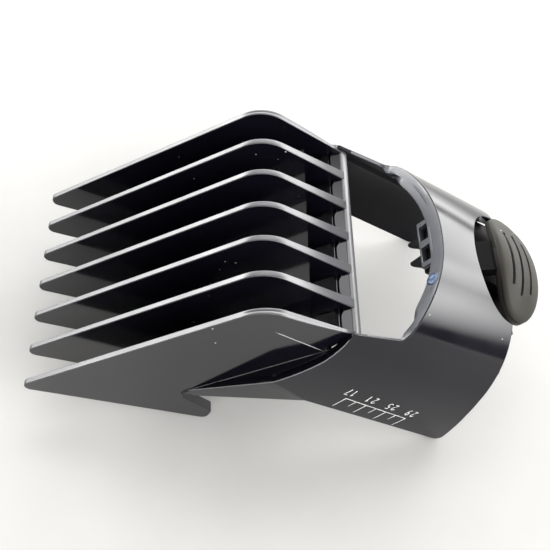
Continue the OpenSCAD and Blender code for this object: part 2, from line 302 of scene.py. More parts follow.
def remap(tree, value, low, high, to_low, to_high):
    node = tree.nodes.new("ShaderNodeMapRange")
    for key, number in zip(("From Min", "From Max", "To Min", "To Max"), (low, high, to_low, to_high)):
        node.inputs[key].default_value = number
    tree.links.new(value, node.inputs["Value"])
    return node.outputs["Result"]


def mix_colour(tree, factor, first, second):
    node = tree.nodes.new("ShaderNodeMix")
    node.data_type = "RGBA"
    for socket, colour in ((node.inputs["A"], first), (node.inputs["B"], second)):
        if isinstance(colour, tuple):
            socket.default_value = (*colour, 1)
        else:
            tree.links.new(colour, socket)
    tree.links.new(factor, node.inputs["Factor"])
    return node.outputs["Result"]


def specks(tree, scale, size):
    """Sparse round dust specks: 1 inside a speck."""
    place = tree.nodes.new("ShaderNodeTexCoord")
    cells = tree.nodes.new("ShaderNodeTexVoronoi")
    cells.inputs["Scale"].default_value = scale
    tree.links.new(place.outputs["Object"], cells.inputs["Vector"])
    near = remap(tree, cells.outputs["Distance"], size, size * 0.6, 0, 1)
    chosen = remap(tree, object_noise(tree, scale * 0.23, 0), 0.62, 0.66, 0, 1)
    both = tree.nodes.new("ShaderNodeMath")
    both.operation = "MULTIPLY"
    tree.links.new(near, both.inputs[0])
    tree.links.new(chosen, both.inputs[1])
    return both.outputs["Value"]


def bump(tree, bsdf, height, strength, distance):
    node = tree.nodes.new("ShaderNodeBump")
    node.inputs["Strength"].default_value = strength
    node.inputs["Distance"].default_value = distance
    tree.links.new(height, node.inputs["Height"])
    tree.links.new(node.outputs["Normal"], bsdf.inputs["Normal"])


def moulded_plastic(name, dark, light, rough, grain=0.02, dust=True, specular=0.5):
    """Moulded plastic: slow colour variation, handling haze, fine skin grain and a little dust.

    specular is the Specular IOR Level. It is fitted to the photo part by part: raised on the rim
    and the edges, and far below plain plastic's 0.5 on the collar's inside, the latch and button.
    """
    material, tree, bsdf = shader(name)
    colour = mix_colour(tree, remap(tree, object_noise(tree, 60, 4), 0.35, 0.65, 0, 1), dark, light)
    haze = remap(tree, object_noise(tree, 170, 6, (1, 1, 0.35)), 0.3, 0.7, rough[0], rough[1])
    if dust:
        spots = specks(tree, 420, 0.07)
        colour = mix_colour(tree, spots, colour, (0.42, 0.41, 0.40))
        dull = tree.nodes.new("ShaderNodeMath")
        dull.operation = "MAXIMUM"
        tree.links.new(haze, dull.inputs[0])
        tree.links.new(remap(tree, spots, 0, 1, 0, 0.7), dull.inputs[1])
        haze = dull.outputs["Value"]
    tree.links.new(colour, bsdf.inputs["Base Color"])
    tree.links.new(haze, bsdf.inputs["Roughness"])
    bsdf.inputs["IOR"].default_value = 1.53
    bsdf.inputs["Specular IOR Level"].default_value = specular
    bump(tree, bsdf, object_noise(tree, 900, 2), grain, 0.00005)
    return material


def metal(name, colour, rough, scale):
    material, tree, bsdf = shader(name)
    tone = tuple(c * 0.8 for c in colour)
    streak = object_noise(tree, scale, 3, (0.2, 1, 1))
    tree.links.new(mix_colour(tree, streak, tone, colour), bsdf.inputs["Base Color"])
    tree.links.new(remap(tree, streak, 0.3, 0.7, *rough), bsdf.inputs["Roughness"])
    bsdf.inputs["Metallic"].default_value = 1
    bump(tree, bsdf, streak, 0.05, 0.00003)
    return material


def ink(name, dark, light, scale):
    material, tree, bsdf = shader(name)
    mottle = remap(tree, object_noise(tree, scale, 5), 0.42, 0.58, 0, 1)
    tree.links.new(mix_colour(tree, mottle, dark, light), bsdf.inputs["Base Color"])
    bsdf.inputs["Roughness"].default_value = 0.45
    bump(tree, bsdf, mottle, 0.1, 0.00002)
    return material


GLOSS = ((0.0022, 0.002, 0.0042), (0.0036, 0.0034, 0.006), (0.07, 0.13))
black = moulded_plastic("black_gloss_plastic", *GLOSS, specular=0.6)
collar_black = moulded_plastic("collar_plastic", *GLOSS, specular=0.3)
rim_satin = moulded_plastic(
    "rim_plastic", (0.04, 0.042, 0.05), (0.055, 0.057, 0.066), (0.34, 0.42), 0.06, False, 0.7)
# Lighter plastic on the teeth's scalp and top edges and on the rail bar: a rougher satin finish, and a lighter
# colour that is painted highlight.
edge_painted_highlight = moulded_plastic(
    "edge_plastic_painted_highlight", (0.026, 0.026, 0.029), (0.036, 0.036, 0.04), (0.34, 0.44), 0.05, False, 0.8)
# Light grey plastic on the fine edge rolls: painted highlight lines.
painted_highlight_roll_plastic = moulded_plastic(
    "edge_roll_painted_highlight", (0.13, 0.13, 0.135), (0.18, 0.18, 0.185), (0.22, 0.3), 0.03, False)
inner_black = moulded_plastic(
    "inner_plastic", (0.003, 0.0028, 0.0045), (0.0045, 0.0042, 0.006), (0.4, 0.5), 0.05, False, 0.07)
latch_black = moulded_plastic(
    "latch_plastic", (0.0015, 0.0015, 0.002), (0.003, 0.003, 0.0035), (0.45, 0.55), 0.06, False, 0.06)
button_grey = moulded_plastic(
    "button_plastic", (0.026, 0.0245, 0.0205), (0.037, 0.034, 0.029), (0.36, 0.46), 0.05, True, 0.06)
# Darker plastic on the button's groove walls, the recess under its rolled edge and the front of its skirt: painted
# shade.
painted_shade_plastic = moulded_plastic(
    "groove_shadow", (0.012, 0.011, 0.01), (0.018, 0.016, 0.014), (0.4, 0.5), 0.05, False)
pin_steel = metal("pin_steel", (0.62, 0.62, 0.64), (0.2, 0.35), 900)
spring_steel = metal("spring_steel", (0.56, 0.56, 0.58), (0.18, 0.3), 1400)
white_ink = ink("white_ink", (0.5, 0.5, 0.49), (0.72, 0.72, 0.7), 2500)
blue_ink = ink("blue_ink", (0.02, 0.04, 0.085), (0.10, 0.15, 0.23), 1500)
blue_edge = ink("blue_edge", (0.01, 0.015, 0.04), (0.025, 0.04, 0.08), 1500)


# ---------------------------------------------------------------- guard teeth
def wedge_half(x, z):
    """Half thickness of a tooth, which grows with the distance behind its scalp edge."""
    lean = math.radians(90 - SCALP_ANGLE)
    depth = x * math.cos(lean) - z * math.sin(lean)
    share = min(max(depth / WEDGE_DEPTH, 0), 1)
    return lerp(EDGE_T, BACK_T, share) / 2


def tooth_outline():
    """Outline of a tooth from the tip over the bend to the rail, and back along notch and heel."""
    angle = math.radians(SCALP_ANGLE)
    tip = (-REACH * math.cos(angle), -REACH * math.sin(angle))
    end = (RAIL_X - RAIL_TOP_W + 0.15, 0.0)
    upper = (APEX[0] + 1.5, APEX[1] - 1.7)
    rear = (APEX[0] + 8.9, APEX[1] - 3.9)
    foot = (APEX[0] + 9.7, APEX[1] - 7.1)
    front = fillet(foot, tip, (0, 0), TIP_R, 8) + fillet(tip, (0, 0), end, BEND_R, 22) + [end]
    back = [NOTCH_TOP, APEX, upper]
    back += fillet(upper, rear, foot, HEEL_R, 8) + fillet(rear, foot, tip, HEEL_R, 8)
    return front, back


FACET_X = 3.0
FACET_FRONT = -4.5
FACET_START = 3.4
FACET_RUN = 13.9
FACET_LEAN = 1.37


def facet_crease(x):
    """Height of the crease below the leaning facet."""
    return lerp(FACET_FRONT, NOTCH_TOP[1], (x - FACET_X) / (NOTCH_TOP[0] - FACET_X))


def facet_shift(x, z):
    """How far the outer face of an outer tooth leans in above its crease."""
    reach = FACET_LEAN * (max(x - FACET_START, 0) / FACET_RUN) ** 1.5
    return reach * min(max(1 - z / facet_crease(x), 0), 1)


def on_scalp(x, z):
    """True on the scalp edge, the bend and the top edge of a tooth."""
    line = z - x * math.tan(math.radians(SCALP_ANGLE))
    return (x < 0 and line > -1.0) or z > -2.5


def add_inner_tooth(number, y):
    front, back = tooth_outline()
    piece = sheet(
        f"guard_tooth_{number}", [front + back],
        lambda x, z, depth: (x, y + wedge_half(x, z) - depth, z),
        lambda x, z: 2 * wedge_half(x, z),
        lambda x, z: (EDGE_R, EDGE_R),
        second_material_at=on_scalp, first=0,
    )
    add_piece(f"guard_tooth_{number}", piece, [black, edge_painted_highlight], replaces=[f"tooth_{number}"])


def add_outer_tooth(number, side):
    """An outer tooth has a flat outer face, with the leaning facet behind its bend."""
    front, back = tooth_outline()
    xs = spaced(FACET_X, NOTCH_TOP[0], 8)
    crease = [(x, facet_crease(x)) for x in xs]
    before = [p for p in front if p[0] < FACET_X]
    arc = [p for p in front if p[0] >= FACET_X][:-1]
    end = front[-1]
    flat_top = [(x, 0.0) for x in xs if x > arc[-1][0] + 0.5]
    ridge = arc + flat_top + [end]
    body = before + crease + back[1:]
    cells = [body, [before[-1]] + ridge[:1] + crease[:1]]
    low, high = 0, 0
    while high < len(ridge) - 1:
        more = low < len(crease) - 1
        if more and crease[low + 1][0] <= ridge[high + 1][0] + 0.3:
            cells.append([ridge[high], ridge[high + 1], crease[low + 1], crease[low]])
            low, high = low + 1, high + 1
        elif more and high == len(ridge) - 2:
            cells.append([ridge[high], crease[low + 1], crease[low]])
            low += 1
        else:
            cells.append([ridge[high], ridge[high + 1], crease[low]])
            high += 1
    while low < len(crease) - 1:
        cells.append([ridge[high], crease[low + 1], crease[low]])
        low += 1

    def inner_y(x, z):
        return OUTER_Y - 0.5 - 2 * wedge_half(x, z) + EDGE_T / 2

    def outer_y(x, z):
        return OUTER_Y - facet_shift(x, z)

    def on_crease(x, z):
        return x > 5.5 and abs(z - facet_crease(x)) < 0.02

    piece = sheet(
        f"guard_tooth_{number}", cells,
        lambda x, z, depth: (x, side * (outer_y(x, z) - depth), z),
        lambda x, z: max(outer_y(x, z) - inner_y(x, z), 0.56),
        lambda x, z: (0.13, 0.13),
        groove=lambda x, z: 0.09 * ramp(x, -4.5, -2.5) * ramp(z, -4, -2.5),
        sharp=on_crease, second_material_at=on_scalp, first=0,
    )
    add_piece(f"guard_tooth_{number}", piece, [black, edge_painted_highlight], replaces=[f"tooth_{number}"])


def add_teeth():
    for number in range(1, TEETH + 1):
        if number in (1, TEETH):
            add_outer_tooth(number, 1 if number == 1 else -1)
        else:
            add_inner_tooth(number, ((TEETH + 1) / 2 - number) * PITCH)


# ---------------------------------------------------------------- cross rail
def add_rail():
    """The rail: a top bar, and between the teeth a tongue that slopes down to the leaning web."""
    half = OUTER_Y - 1.2
    front = RAIL_X - RAIL_TOP_W
    bar = [(front, 0), (front - 0.3, -0.5), (front - 0.3, -1.6), (RAIL_X, -1.9), (RAIL_X + 0.35, -0.7),
           (RAIL_X, 0)]
    mesh = sheet(
        "rail_bar", [bar], lambda x, z, depth: (x, half - depth, z),
        lambda x, z: 2 * half, lambda x, z: (0.08, 0.08),
    )
    # The rail bar takes the lighter edge plastic, a painted highlight.
    add_piece("rail_bar", mesh, edge_painted_highlight, replaces=["cross_rail"])
    slope = Vector((front - 0.1 - RAIL_LEDGE[0], -0.3 - RAIL_LEDGE[1]))
    length, corner = slope.length, 1.7
    for gap in range(TEETH - 1):
        left = (gap - (TEETH - 1) / 2) * PITCH + BACK_T / 2 - 0.02
        right = left + PITCH - BACK_T + 0.04
        outline = [(right, -0.4)]
        outline += fillet((right, 0), (right, length), (left, length), corner, 8)
        outline += fillet((right, length), (left, length), (left, 0), corner, 8)
        outline += [(left, -0.4)]

        def tongue_point(y, run, depth):
            share = 1 - run / length
            x = RAIL_LEDGE[0] + slope.x * share + 0.6 * depth
            return (x, y, RAIL_LEDGE[1] + slope.y * share - 0.8 * depth)

        tongue = sheet(
            f"rail_tongue_{gap + 1}", [outline], tongue_point, lambda y, z: 0.9, lambda y, z: (0.14, 0.05),
        )
        add_piece(f"rail_tongue_{gap + 1}", tongue, collar_black)
        rows = []
        for y in [left + 0.02] + spaced(left + 0.12, right - 0.12, 4) + [right - 0.02]:
            rows.append([(y, z) for z in spaced(-1.75, -RAIL_DEPTH, 6)])

        def web_point(y, z, depth):
            x = RAIL_LEDGE[0] + NOTCH_SLOPE * (z - RAIL_LEDGE[1]) + 0.2
            return (x + depth, y, z)

        web = sheet(
            f"rail_web_{gap + 1}", bands(rows), web_point, lambda y, z: 1.15, lambda y, z: (0.1, 0.1),
        )
        add_piece(f"rail_web_{gap + 1}", web, black)


# ---------------------------------------------------------------- collar section
class Section:
    """The arch of the collar: arc length from the crown, and height and half width there."""

    def __init__(self):
        a = np.linspace(np.pi / 2, 0, 2001)
        self.y = HALF_W * np.cos(a).clip(0) ** (2 / POWER)
        self.z = -DROP + ARCH_H * np.sin(a).clip(0) ** (2 / POWER)
        steps = np.hypot(np.diff(self.y), np.diff(self.z))
        self.s = np.concatenate([[0], np.cumsum(steps)])
        self.end = float(self.s[-1])

    def at(self, s):
        """(half width, height, outward normal) at arc length s, straight down below the base."""
        if s >= self.end:
            return HALF_W, -DROP - (s - self.end), (1.0, 0.0)
        y = float(np.interp(s, self.s, self.y))
        z = float(np.interp(s, self.s, self.z))
        ny = (y / HALF_W) ** (POWER - 1) / HALF_W
        nz = (max(z + DROP, 0) / ARCH_H) ** (POWER - 1) / ARCH_H
        size = math.hypot(ny, nz)
        return y, z, (ny / size, nz / size)

    def s_of_z(self, z):
        if z <= -DROP:
            return self.end - DROP - z
        return float(np.interp(-z, -self.z, self.s))

    def s_of_y(self, y):
        return float(np.interp(abs(y), self.y, self.s))


section = Section()
ARM_Z = (0.7, 2.1)
ARM_X = (16.6, RIM_X - RIM_DIP)
LOBE_R = 1.3
CORNER_R = 1.8
SKIN = 0.015
ARM_STEP = 0.34
REAR_CURVE = [(-DROP, REAR_X + 5.4), (-11.5, REAR_X + 3.75), (-6.5, REAR_X + 2.3), (-3.0, REAR_X + 1.6),
              (0.5, REAR_X + 1.2), (2.1, REAR_X + 1.0)]


def notch_line(z):
    return NOTCH_TOP[0] + NOTCH_SLOPE * (z - NOTCH_TOP[1])


def rear_edge(z):
    zs, xs = zip(*REAR_CURVE)
    return float(np.interp(z, zs, xs))


def crease_x(z):
    return lerp(CREST[0], WALL_FOOT[0], (z - CREST[1]) / (WALL_FOOT[1] - CREST[1]))


def rim_x(y):
    s = y / ROOF_HALF_W
    return RIM_X - RIM_DIP * (1.4 * s ** 2 - 0.4 * s ** 4)


def below_crease(x, z):
    """Distance below the crease between wall and strip, 0 above it."""
    run, rise = WALL_FOOT[0] - CREST[0], WALL_FOOT[1] - CREST[1]
    size = math.hypot(run, rise)
    return max(((x - CREST[0]) * rise - (z - CREST[1]) * run) / size, 0.0)


def collar_point(x, v, depth):
    """The collar's outer face at x and arc length v from the crown, sunk by depth.

    SKIN keeps the shell inside the CAD model's box, and the arm steps in by ARM_STEP.
    """
    side = 1 if v >= 0 else -1
    y, z, (ny, nz) = section.at(abs(v))
    under = below_crease(x, z)
    if under > 0:
        y = min(y, HALF_W) - under * STRIP_LEAN
        ny, nz = 1.0, -STRIP_LEAN
    step = ARM_STEP * ramp(z, -2.0, 0.9) * (1 - ramp(x, 26, 33)) * (1 - ramp(z, 2.2, 5))
    sunk = depth + SKIN + step
    return (x, side * (y - ny * sunk), z - nz * sunk)


def collar_rows():
    """Rows of the right half of the collar's pattern, from the crown to the wall's foot."""
    rows = []
    crown = [BUTTON_NOTCH[1] * math.sin(math.radians(t)) for t in range(0, 91, 6)]
    for y in crown:
        rear = REAR_X - BUTTON_NOTCH[0] * math.sqrt(max(1 - (y / BUTTON_NOTCH[1]) ** 2, 0))
        rows.append((section.s_of_y(y), rim_x(y), rear))
    lobe_start = section.s_of_z(ARM_Z[1]) - LOBE_R
    for v in spaced(section.s_of_y(BUTTON_NOTCH[1]), lobe_start, 9)[1:]:
        y, z, _ = section.at(v)
        share = (y - BUTTON_NOTCH[1]) / (ROOF_HALF_W - BUTTON_NOTCH[1])
        rows.append((v, rim_x(y), lerp(REAR_X, REAR_X + 1.0, share)))
    for i in range(1, 9):
        t = math.pi / 2 * i / 8
        v = lobe_start + LOBE_R * math.sin(t)
        y, z, _ = section.at(v)
        rows.append((v, rim_x(ROOF_HALF_W) - LOBE_R * (1 - math.cos(t)), rear_edge(min(z, 2.1))))
    for t in spaced(0, 1, 10)[1:]:
        z = lerp(ARM_Z[1], ARM_Z[0], t)
        rows.append((section.s_of_z(z), lerp(ARM_X[1] - LOBE_R, ARM_X[0], t), rear_edge(z)))
    for z in spaced(ARM_Z[0], NOTCH_TOP[1], 9)[1:]:
        share = (ARM_Z[0] - z) / (ARM_Z[0] - NOTCH_TOP[1])
        rows.append((section.s_of_z(z), lerp(ARM_X[0], NOTCH_TOP[0], share), rear_edge(z)))
    for z in spaced(NOTCH_TOP[1], CREST[1], 12)[1:]:
        rows.append((section.s_of_z(z), notch_line(z), rear_edge(z)))
    return rows


def collar_cells(side):
    """Pattern cells of one half: roof, arm, wall and the strip under its crease."""
    cells = bands([[(front, side * v), (rear, side * v)] for v, front, rear in collar_rows()])
    lower = []
    for t in spaced(0, math.pi / 2, 6):
        z = -DROP + CORNER_R * (1 - math.sin(t))
        lower.append((z, CORNER_R * (1 - math.cos(t))))
    levels = [(z, 0.0) for z in spaced(CREST[1], -DROP + CORNER_R, 2)[:-1]]
    levels += lower
    rows = []
    for z, inset in levels:
        v = side * section.s_of_z(z)
        rows.append([(notch_line(z), v), (crease_x(z), v), (rear_edge(z) - inset, v)])
    cells += bands(rows)
    strip = []
    for t in spaced(0, 1, 8):
        z = lerp(-DROP, APEX[1], t)
        foot = lerp(WALL_FOOT[0], STRIP_FOOT[0], min((z + DROP) / (STRIP_FOOT[1] + DROP), 1))
        v = side * section.s_of_z(z)
        strip.append([(notch_line(z), v), (foot, v)])
    return cells + bands(strip)


def collar_thickness(x, v):
    _, z, _ = section.at(abs(v))
    arm = ramp(z, -0.4, 0.2) * (1 - ramp(z, 2.2, 3.2)) * (1 - ramp(x, 25, 28))
    strip = 1 if below_crease(x, z) > 0.05 else 0
    return WALL_T - 0.9 * arm - 0.3 * strip


def collar_radius(x, v):
    _, z, _ = section.at(abs(v))
    if z > 3 and x < 32:
        return SOFT_R, 0.02
    if z > 0 and x < 26:
        return 0.12, 0.12
    return EDGE_R, EDGE_R


def collar_groove(x, v):
    _, z, _ = section.at(abs(v))
    return 0.08 if 0.5 < z < 2.2 and x < 25.5 else 0.0


def on_rim(x, v):
    _, z, _ = section.at(abs(v))
    return z > 1.0 and x < 32


def on_crest_crease(x, v):
    _, z, _ = section.at(abs(v))
    return z < CREST[1] + 0.01 and abs(x - crease_x(z)) < 0.02


def add_collar():
    cells = collar_cells(1) + collar_cells(-1)
    mesh = sheet(
        "collar_shell", cells, collar_point, collar_thickness, collar_radius,
        groove=collar_groove, sharp=on_crest_crease, second_material_at=on_rim, inner_kind=2,
    )
    add_piece(
        "collar_shell", mesh, [collar_black, rim_satin, inner_black],
        replaces=["collar_roof", "left_side_wall", "right_side_wall"],
    )


def add_lip():
    """The thicker lip under the rim, flush with the rim's front face."""
    reach = section.s_of_z(3.2)
    rows = []
    for v in spaced(-reach, reach, 72):
        y, _, _ = section.at(abs(v))
        curl = -1.2 * ramp(abs(v), reach - 4.5, reach)
        front = rim_x(min(y, ROOF_HALF_W))
        rows.append([(front - curl, v), (front + 2.0, v)])
    mesh = sheet(
        "rim_lip_band", bands(rows),
        lambda x, v, depth: collar_point(x, v, WALL_T - 0.01 + depth),
        lambda x, v: 1.4 - 1.05 * ramp(abs(v), reach - 6, reach),
        lambda x, v: (0.02, 0.2),
        second_material_at=lambda x, v: x < 31, inner_kind=2,
    )
    add_piece("rim_lip_band", mesh, [rim_satin, rim_satin, inner_black], replaces=["rim_lip"])


def add_blade_web(side, name):
    """The web behind an outer tooth, out to the wall's front edge and down to the heel."""
    outer = []
    for z in spaced(NOTCH_TOP[1] + 0.6, CREST[1], 10):
        y, _, _ = section.at(section.s_of_z(z))
        outer.append((y - WALL_T + 0.05, z))
    for t in spaced(0, 1, 6)[1:]:
        z = lerp(CREST[1], APEX[1] + 0.4, t)
        outer.append((HALF_W - below_crease(notch_line(z), z) * STRIP_LEAN - 0.2, z))
    curl = [FILLET_R * (1 - math.cos(math.radians(a))) for a in (0, 22, 45, 67, 90)]
    rows = [
        [(OUTER_Y - 1.0, z)] + [(OUTER_Y + c, z) for c in curl] + [(max(y, OUTER_Y + FILLET_R + 0.05), z)]
        for y, z in outer
    ]

    def forward(y):
        left = max(FILLET_R - max(y - OUTER_Y, 0), 0)
        return FILLET_R - math.sqrt(FILLET_R ** 2 - left ** 2)

    mesh = sheet(
        name, bands(rows),
        lambda y, z, depth: (notch_line(z) + 0.02 + depth - forward(y), side * y, z),
        lambda y, z: 1.2,
        lambda y, z: (0.03, 0.1),
    )
    add_piece(name, mesh, black, replaces=[("left" if side < 0 else "right") + "_blade_cheek"])


EDGE_ROLL_R = 0.085
WALL_ROLL_R = 0.1


def add_bead(name, path, radius):
    """A fine round roll along a moulded edge, in a lighter plastic that paints its highlight."""
    sides, loops, points = 8, [], []
    for i, here in enumerate(path):
        way = (Vector(path[min(i + 1, len(path) - 1)]) - Vector(path[max(i - 1, 0)])).normalized()
        across = way.cross(Vector((0, 1, 0))).normalized()
        upright = way.cross(across)
        share = min(1.0, 0.25 + 0.5 * min(i, len(path) - 1 - i))
        loops.append([])
        for k in range(sides):
            a = 2 * math.pi * k / sides
            loops[-1].append(len(points))
            points.append(Vector(here) + (across * math.cos(a) + upright * math.sin(a)) * radius * share)
    faces = [loops[0][::-1], loops[-1]]
    for a, b in zip(loops, loops[1:]):
        faces += [[a[k], a[(k + 1) % sides], b[(k + 1) % sides], b[k]] for k in range(sides)]
    add_piece(name, finished_mesh(name, points, faces), painted_highlight_roll_plastic)


def add_edge_rolls(side, name):
    """Rolls on the crease of the outer tooth, on its notch edge and on the wall's front edge, each a painted
    highlight line.
    """
    crease = [(x, side * (OUTER_Y + 0.01), facet_crease(x)) for x in spaced(5.0, NOTCH_TOP[0], 12)]
    add_bead(f"{name}_crease_roll", crease, EDGE_ROLL_R)
    notch = [(notch_line(z), side * (OUTER_Y + 0.01), z) for z in spaced(NOTCH_TOP[1], APEX[1] + 0.5, 20)]
    add_bead(f"{name}_notch_roll", notch, EDGE_ROLL_R)
    wall = []
    for z in spaced(ARM_Z[0] - 1.0, NOTCH_TOP[1], 5) + spaced(NOTCH_TOP[1], CREST[1], 10)[1:]:
        share = (ARM_Z[0] - z) / (ARM_Z[0] - NOTCH_TOP[1])
        x = lerp(ARM_X[0], NOTCH_TOP[0], share) if z > NOTCH_TOP[1] else notch_line(z)
        wall.append(collar_point(x + 0.01, side * section.s_of_z(z), 0.08))
    for z in spaced(CREST[1], APEX[1] + 0.6, 14)[1:]:
        wall.append(collar_point(notch_line(z) + 0.01, side * section.s_of_z(z), 0.08))
    add_bead(f"{name}_wall_roll", wall, WALL_ROLL_R)


# ---------------------------------------------------------------- latch
BUTTON_X = 47.6
BUTTON_HALF = (5.6, 10.6)
BUTTON_Z = 12.5
CROWN = (14.0, 18.0)
CROWN_X = 46.5
BUTTON_T = 1.2
OVAL_POWER = 2.35


def crown_z(x, y):
    along_drop = CROWN[0] - math.sqrt(max(CROWN[0] ** 2 - (x - CROWN_X) ** 2, 0))
    across_drop = CROWN[1] - math.sqrt(max(CROWN[1] ** 2 - y ** 2, 0))
    return BUTTON_Z - along_drop - across_drop


def oval_reach(y):
    """Half length of the button's oval at y."""
    return BUTTON_HALF[0] * max(1 - (abs(y) / BUTTON_HALF[1]) ** OVAL_POWER, 0) ** (1 / OVAL_POWER)


def oval_level(x, y):
    """0 in the middle of the button, 1 on its outline."""
    u = abs(x - BUTTON_X) / BUTTON_HALF[0]
    v = abs(y) / BUTTON_HALF[1]
    return (u ** OVAL_POWER + v ** OVAL_POWER) ** (1 / OVAL_POWER)


GROOVES = [(44.35, 5.1, -5.5, 0.2), (46.2, 4.9, -6.9, 0.55), (48.3, 3.9, -5.9, 1.0)]
GROOVE_HALF = 0.27
GROOVE_DEPTH = 0.75
GROOVE_LINES = (-1.9, -1.15, -0.85, -0.4, 0.4, 0.85, 1.15, 1.9)
GROOVE_PROFILE = (0, 0.02, 0.8, 1, 1, 0.8, 0.02, 0)
EDGE_SHARES = [0, 0.006, 0.02, 0.04, 0.065, 0.1]
FIRST_LINE = len(EDGE_SHARES)
LAST_LINE = FIRST_LINE + len(GROOVES) * len(GROOVE_LINES)
ROLL = 0.075


def groove_line(groove, y):
    """x of a groove, which bows towards the rear, at y. It stays put past the groove's ends."""
    start, high, low, bow = groove
    t = min(max((y - high) / (low - high), 0), 1)
    return start + 1.2 * bow * (1.6 * t - 0.9 * t * t)


def groove_share(groove, y):
    """1 along a groove, 0 past its ends, with a short run-out between."""
    _, high, low, _ = groove
    return min(max((high - y) / 0.25, 0), 1) * min(max((y - low) / 0.25, 0), 1)


def groove_at(k):
    """The groove that grid line k belongs to and the line's number in it, or None."""
    if FIRST_LINE <= k < LAST_LINE:
        number, line = divmod(k - FIRST_LINE, len(GROOVE_LINES))
        return GROOVES[number], line
    return None


def button_columns(y):
    """x of the button's grid lines at y: the outline, the rolled edge and the groove walls."""
    reach = oval_reach(y)
    held = min(max(y, min(g[2] for g in GROOVES)), max(g[1] for g in GROOVES))
    wide = oval_reach(held)
    shares = list(EDGE_SHARES)
    for groove in GROOVES:
        middle = 0.5 + (groove_line(groove, held) - BUTTON_X) / (2 * wide)
        step = GROOVE_HALF / (2 * wide)
        shares += [middle + k * step for k in GROOVE_LINES]
    shares += [0.9, 0.935, 0.96, 0.98, 0.994, 1]
    return [BUTTON_X + reach * (2 * share - 1) for share in shares]


def add_button():
    """Domed shell with grip grooves, a rolled edge, a skirt and an open underside. Painted shade darkens the
    groove walls, the recess under the rolled edge and the skirt's front.
    """
    edge = BUTTON_HALF[1]
    ys = [-edge, -edge + 0.02, -edge + 0.08, -edge + 0.2, -edge + 0.4, -edge + 0.7]
    ys += spaced(-edge + 1.1, edge - 1.1, 92) + [-y for y in reversed(ys)]
    tops, kinds = [], []
    for y in ys:
        tops.append([])
        for k, x in enumerate(button_columns(y)):
            z = crown_z(x, y)
            level = min(oval_level(x, y), 1)
            if level > 1 - ROLL:
                z -= 0.5 * (1 - math.sqrt(max(1 - ((level - 1 + ROLL) / ROLL) ** 2, 0)))
            if groove_at(k):
                groove, line = groove_at(k)
                z -= GROOVE_DEPTH * GROOVE_PROFILE[line] * groove_share(groove, y)
            tops[-1].append((x, y, z))
    columns = len(tops[0])
    points = [p for row in tops for p in row]
    faces = []
    for i in range(len(ys) - 1):
        for k in range(columns - 1):
            a = i * columns + k
            faces.append([a, a + 1, a + columns + 1, a + columns])
            groove, line = groove_at(k) or (None, 0)
            y = 0.5 * (ys[i] + ys[i + 1])
            # Groove walls and floors take the painted shade.
            kinds.append(1 if groove and 1 <= line <= 5 and groove_share(groove, y) > 0.4 else 0)
    rim = list(range(columns))
    rim += [i * columns + columns - 1 for i in range(1, len(ys))]
    rim += [(len(ys) - 1) * columns + k for k in range(columns - 2, -1, -1)]
    rim += [i * columns for i in range(len(ys) - 2, 0, -1)]
    previous = rim
    # Kind 1 marks faces painted with shade: the recess under the rolled edge and the skirt's front.
    for inset, drop, kind in ((1, 0.36, 1), (0.96, 0.46, 1), (0.96, 0.74, 1), (1, 0.84, 0), (1, 1.5, 0),
                              (0.985, 1.62, 0), (0.95, 1.62, 0), (0.93, 1.5, 0), (0.9, 0.7, 0)):
        loop = []
        for i in rim:
            x, y, z = points[i]
            base = crown_z(x, y) - 0.5
            loop.append(len(points))
            points.append((BUTTON_X + (x - BUTTON_X) * inset, y * inset, base - drop + 0.4))
        for a in range(len(rim)):
            b = (a + 1) % len(rim)
            faces.append([previous[a], previous[b], loop[b], loop[a]])
            x, y, _ = points[rim[a]]
            shaded = inset == 1 and drop > 0.5 and x < BUTTON_X - 1.2 and -9.6 < y < 1.5
            kinds.append(1 if shaded else kind)
        previous = loop
    middle = len(points)
    points.append((BUTTON_X, 0, crown_z(BUTTON_X, 0) - BUTTON_T))
    for a in range(len(rim)):
        faces.append([previous[a], previous[(a + 1) % len(rim)], middle])
        kinds.append(0)
    mesh = finished_mesh("button_cap", points, faces, (), kinds)
    bm = bmesh.new()
    bm.from_mesh(mesh)
    bmesh.ops.remove_doubles(bm, verts=bm.verts, dist=1e-6)
    bmesh.ops.recalc_face_normals(bm, faces=bm.faces)
    for line in bm.edges:
        if len(line.link_faces) == 2 and line.calc_face_angle() > math.radians(50):
            line.smooth = False
    bm.to_mesh(mesh)
    bm.free()
    add_piece("button_cap", mesh, [button_grey, painted_shade_plastic], LATCH, ["release_button"])


WINDOW_Y = (0.65, 3.55)
WINDOW_Z = (5.05, 6.95)
CLAW_Y = 1.95
CLAW_ROOT = 3.9
CLAW_L = 2.1


def add_guide():
    """The small plate at the rim with two windows that the claws show behind."""
    x, thick, half, low = 29.3, 0.8, 4.5, 4.7
    top = section.at(0)[1] - 2.4
    cells = []
    ys = [-half, -WINDOW_Y[1], -WINDOW_Y[0], WINDOW_Y[0], WINDOW_Y[1], half]
    zs = [low, WINDOW_Z[0], WINDOW_Z[1], top]
    for i in range(5):
        for k in range(3):
            if i in (1, 3) and k == 1:
                continue
            cells.append([(ys[i], zs[k]), (ys[i + 1], zs[k]), (ys[i + 1], zs[k + 1]), (ys[i], zs[k + 1])])
    mesh = sheet(
        "guide_plate", cells, lambda y, z, depth: (x + depth, y, z),
        lambda y, z: thick, lambda y, z: (0.09, 0.09),
    )
    add_piece("guide_plate", mesh, rim_satin, replaces=["latch_guide"])


